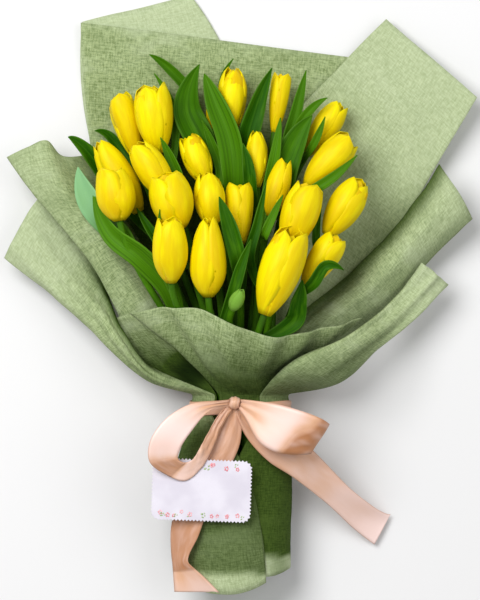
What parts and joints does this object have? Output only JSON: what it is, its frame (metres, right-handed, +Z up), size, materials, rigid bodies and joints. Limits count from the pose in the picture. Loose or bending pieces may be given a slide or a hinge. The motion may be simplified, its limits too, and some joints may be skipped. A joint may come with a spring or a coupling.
{
  "type": "wrapped tulip bouquet",
  "caption": "Bunch of closed yellow tulips with green leaves, in sage woven wrap, tied at the neck with a peach satin bow and a blank card; it lies on its back.",
  "frame": {"origin": "middle of the bunch's footprint, on the surface it lies on", "axes": "+Y from the cut stems towards the flowers, +Z up from the surface, out of the bunch's front"},
  "size_m": [0.4042, 0.5117, 0.1185],
  "materials": {
    "petal_yellow": "smooth waxy petals, saturated yellow, orange in the folds",
    "stem_green": "fresh waxy leaves and stems with fine lengthwise veins",
    "wrap_sage": "matt sage linen-look weave, slightly sheer where single",
    "satin_peach": "satin ribbon, soft sheen",
    "card_white": "uncoated white card with small printed blossoms",
    "twine": "matt binding twine"
  },
  "bodies": {
    "root": {"greeting_card": "card_white", "head_01": "petal_yellow", "head_02": "petal_yellow", "head_03": "petal_yellow", "head_04": "petal_yellow", "head_05": "petal_yellow", "head_06": "petal_yellow", "head_07": "petal_yellow", "head_08": "petal_yellow", "head_09": "petal_yellow", "head_10": "petal_yellow", "head_11": "petal_yellow", "head_12": "petal_yellow", "head_13": "petal_yellow", "head_14": "petal_yellow", "head_15": "petal_yellow", "head_16": "petal_yellow", "head_17": "petal_yellow", "head_18": "petal_yellow", "head_19": "petal_yellow", "head_20": "petal_yellow", "head_21": "petal_yellow", "head_22": "petal_yellow", "ribbon_bow": "satin_peach", "stem_01": "stem_green", "stem_02": "stem_green", "stem_03": "stem_green", "stem_04": "stem_green", "stem_05": "stem_green", "stem_06": "stem_green", "stem_07": "stem_green", "stem_08": "stem_green", "stem_09": "stem_green", "stem_10": "stem_green", "stem_11": "stem_green", "stem_12": "stem_green", "stem_13": "stem_green", "stem_14": "stem_green", "stem_15": "stem_green", "stem_16": "stem_green", "stem_17": "stem_green", "stem_18": "stem_green", "stem_19": "stem_green", "stem_20": "stem_green", "stem_21": "stem_green", "stem_22": "stem_green", "stem_bud": "stem_green", "stem_tie": "twine", "wrap_back_liner": "wrap_sage", "wrap_back_sheet": "wrap_sage", "wrap_front_collar": "wrap_sage", "wrap_left_band": "wrap_sage", "wrap_left_outer": "wrap_sage", "wrap_left_pleat": "wrap_sage", "wrap_right_lower": "wrap_sage", "wrap_right_middle": "wrap_sage", "wrap_right_upper": "wrap_sage"}
  },
  "joints": []
}
